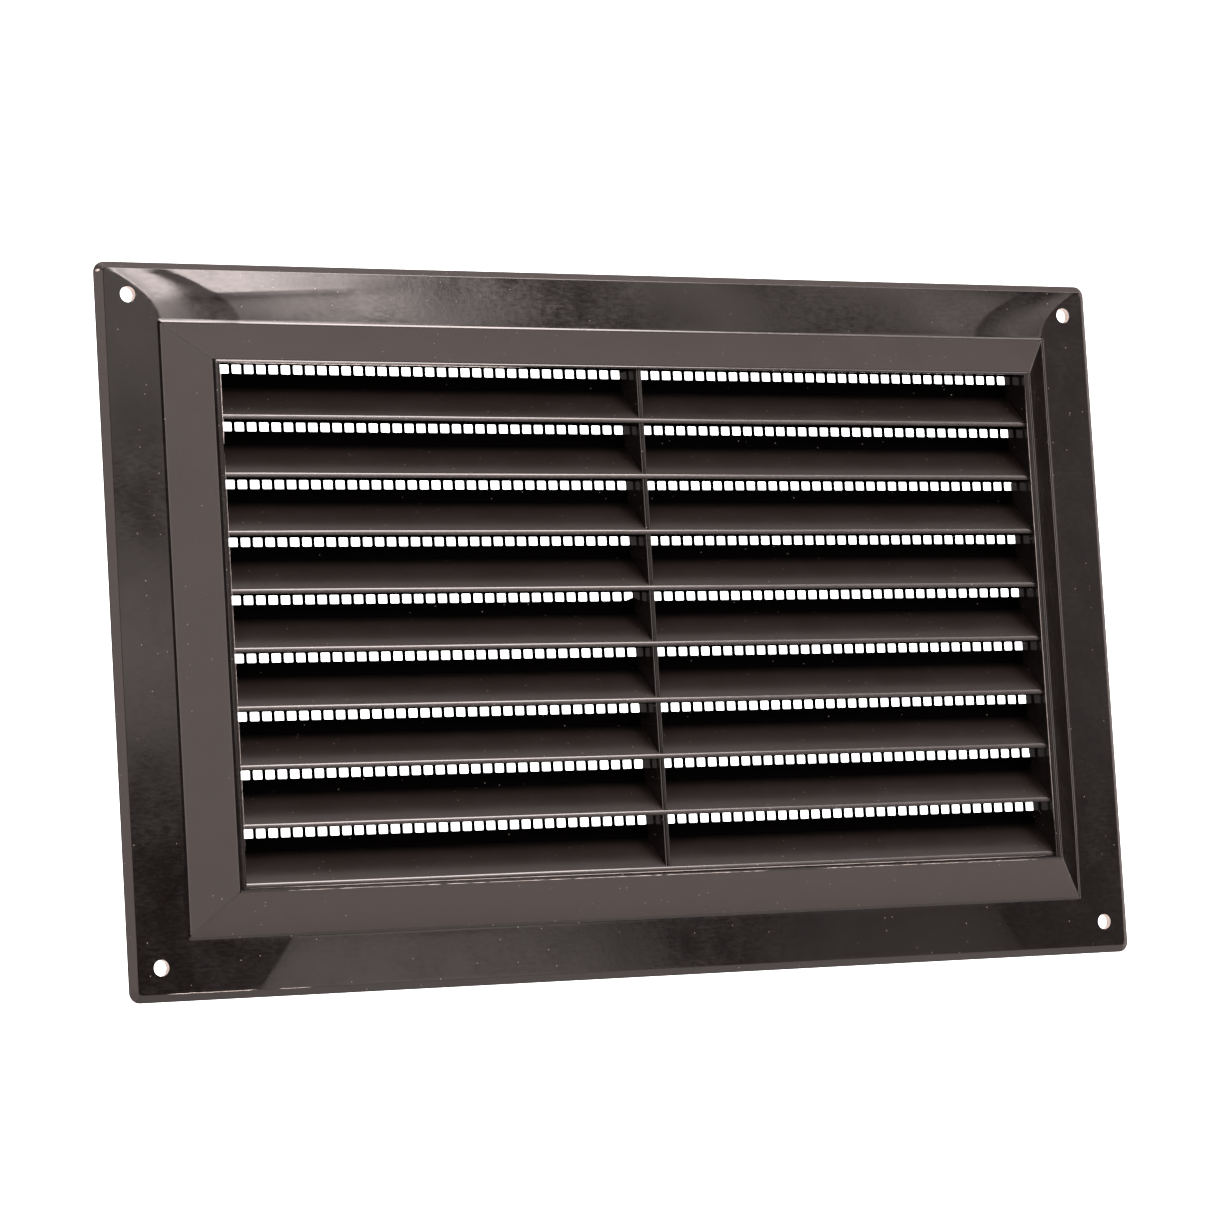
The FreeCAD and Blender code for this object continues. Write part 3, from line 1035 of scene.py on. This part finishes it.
def make_floor():
    """Plain pale floor, well below the vent, which hangs free as on its wall."""
    bpy.ops.object.select_all(action="DESELECT")
    bpy.ops.mesh.primitive_plane_add(size=floor_size * MM, location=(0, 0, -floor_drop * MM))
    floor = bpy.context.active_object
    floor.name = "floor"
    paint = bpy.data.materials.new("pale_matt_floor")
    paint.use_nodes = True
    shader = paint.node_tree.nodes["Principled BSDF"]
    shader.inputs["Base Color"].default_value = linear("F2F1EF")
    shader.inputs["Roughness"].default_value = 0.8
    floor.data.materials.append(paint)


def add_light(tree, edges, strength):
    """Light from the directions that lie past all of some soft edges. An edge is a measure of the
    direction, the value where the light starts and the value where it is full."""
    light = strength
    for measure, start, full in edges:
        edge = add_node(tree, "ShaderNodeMapRange",
                        {"Value": measure, "From Min": start, "From Max": full},
                        interpolation_type="SMOOTHSTEP")
        light = add_node(tree, "ShaderNodeMath", {0: edge.outputs[0], 1: light},
                         operation="MULTIPLY").outputs[0]
    return light


def make_world():
    """Photographer's corner as the vent sees it: soft boxes and pale boards in a dim room. Each board
    is given by its bearing from straight ahead, to the right, and by its height, in degrees."""
    world = bpy.data.worlds.new("studio")
    bpy.context.scene.world = world
    world.use_nodes = True
    tree = world.node_tree
    background = tree.nodes["Background"]
    direction = add_node(tree, "ShaderNodeTexCoord").outputs["Generated"]
    x, y, z = add_node(tree, "ShaderNodeSeparateXYZ", {"Vector": direction}).outputs
    degrees = 180 / math.pi
    ahead = add_node(tree, "ShaderNodeMath", {0: y, 1: -1.0}, operation="MULTIPLY")
    turn = add_node(tree, "ShaderNodeMath", {0: x, 1: ahead.outputs[0]}, operation="ARCTAN2")
    rise = add_node(tree, "ShaderNodeMath", {0: z}, operation="ARCSINE")
    bearing, height = (
        add_node(tree, "ShaderNodeMath", {0: angle.outputs[0], 1: degrees}, operation="MULTIPLY").outputs[0]
        for angle in (turn, rise))

    def board(bearings, heights, soft, strength, lean=0.0):
        """Light from a board with soft edges, which leans to the right by so many degrees for each
        degree up."""
        level = add_node(tree, "ShaderNodeMath", {0: height, 1: -lean, 2: bearing},
                         operation="MULTIPLY_ADD").outputs[0]
        edges = [(level, bearings[0] - soft, bearings[0] + soft),
                 (level, bearings[1] + soft, bearings[1] - soft),
                 (height, heights[0] - soft, heights[0] + soft),
                 (height, heights[1] + soft, heights[1] - soft)]
        return add_light(tree, edges, strength)

    boards = [
        # Wall behind the vent, brighter high up
        add_light(tree, [(y, 0.56, 0.66)], 0.35),
        add_light(tree, [(y, 0.2, 0.4), (height, 28.0, 36.0)], 2.0),
        # Table and ceiling, with a soft box overhead whose end shows in the upper sloped side
        add_light(tree, [(height, -6.5, -14.0)], 1.0),
        add_light(tree, [(height, 53.0, 57.0)], 0.6),
        board((-85.0, 84.0), (55.0, 95.0), 3.0, 1.15),
        board((-85.0, 84.0), (70.0, 95.0), 4.0, 4.5),
        # Right sloped side and the rounds beside it
        board((103.0, 124.0), (-60.0, 60.0), 1.5, 0.7),
        board((124.0, 150.0), (-60.0, 60.0), 1.5, 2.7),
        # Upper rounds of the slats' edges: a strong line on the left that weakens to the right
        board((9.0, 18.5), (22.0, 50.0), 1.0, 22.0, lean=0.52),
        board((18.5, 42.0), (22.0, 50.0), 1.0, 4.2, lean=0.52),
        # Top flange, from its left end to its right
        board((23.5, 26.6), (8.0, 24.0), 0.8, 4.6),
        board((24.8, 26.3), (9.0, 24.0), 0.7, 10.0),
        board((22.3, 25.2), (12.8, 24.0), 0.6, 17.0),
        board((29.4, 30.3), (7.0, 24.0), 0.4, 3.0),
        board((30.3, 32.0), (7.0, 24.0), 0.5, 0.2),
        board((32.2, 33.6), (7.0, 24.0), 0.3, 3.0),
        # Left flange and the corner above it
        board((10.0, 21.5), (3.8, 6.2), 0.4, 2.1),
        board((10.0, 22.2), (7.4, 30.0), 0.4, 1.4),
        # Right flange
        board((34.5, 50.0), (2.5, 12.0), 0.8, 0.5),
        board((33.6, 50.0), (-9.0, 2.0), 0.5, 0.25),
        # Bottom flange
        board((23.2, 28.0), (-7.0, -1.2), 0.3, 2.0),
        board((29.8, 32.8), (-7.0, -1.2), 0.5, 0.7),
        # Left sloped side, and the upper left mitre
        board((-74.0, -38.0), (-2.0, 30.0), 4.0, 3.5),
        board((-34.0, -12.0), (43.0, 54.0), 2.0, 3.5),
        # Right rounds of the foot and the rib, the rib's front, and the lower lip
        board((42.0, 58.0), (-8.0, 16.0), 1.5, 3.0),
        board((27.3, 28.9), (2.4, 7.2), 0.3, 3.4),
        board((23.4, 32.6), (1.75, 2.7), 0.15, 1.5),
        # Right mitres and the foot of the right sloped side
        board((86.0, 94.0), (-25.0, 35.0), 1.0, 4.5),
        board((90.0, 103.0), (-25.0, 35.0), 2.0, 1.0),
    ]
    room = room_light
    for light in boards:
        room = add_node(tree, "ShaderNodeMath", {0: light, 1: room}, operation="MAXIMUM").outputs[0]
    # The camera itself looks past the boards, at plain white
    path = add_node(tree, "ShaderNodeLightPath").outputs["Is Camera Ray"]
    seen = add_node(tree, "ShaderNodeMix", {"Factor": path, "A": room, "B": 3.0}, data_type="FLOAT")
    tree.links.new(seen.outputs[0], background.inputs["Strength"])
    warm, white = (1.0, 0.87, 0.845, 1.0), (1.0, 1.0, 1.0, 1.0)
    tint = add_node(tree, "ShaderNodeMix", {"Factor": path, "A": warm, "B": white}, data_type="RGBA")
    tree.links.new(tint.outputs["Result"], background.inputs["Color"])


def make_camera():
    """Camera at the photograph's viewing angle, with the lens that was fitted to the screen's holes."""
    forward = Vector(camera_forward).normalized()
    right = Vector(camera_right)
    right = (right - forward * right.dot(forward)).normalized()
    turn = Matrix((right, right.cross(forward), -forward)).transposed().to_4x4()
    data = bpy.data.cameras.new("camera")
    data.sensor_width = 36.0
    data.lens = camera_lens
    data.clip_start = 0.05
    camera = bpy.data.objects.new("camera", data)
    camera.matrix_world = Matrix.Translation(Vector(camera_place) * MM) @ turn
    bpy.context.scene.collection.objects.link(camera)
    bpy.context.scene.camera = camera


def make_studio():
    """Floor, surroundings and camera."""
    make_floor()
    make_world()
    make_camera()
    bpy.context.scene.view_settings.view_transform = "Standard"


make_pieces()
make_studio()
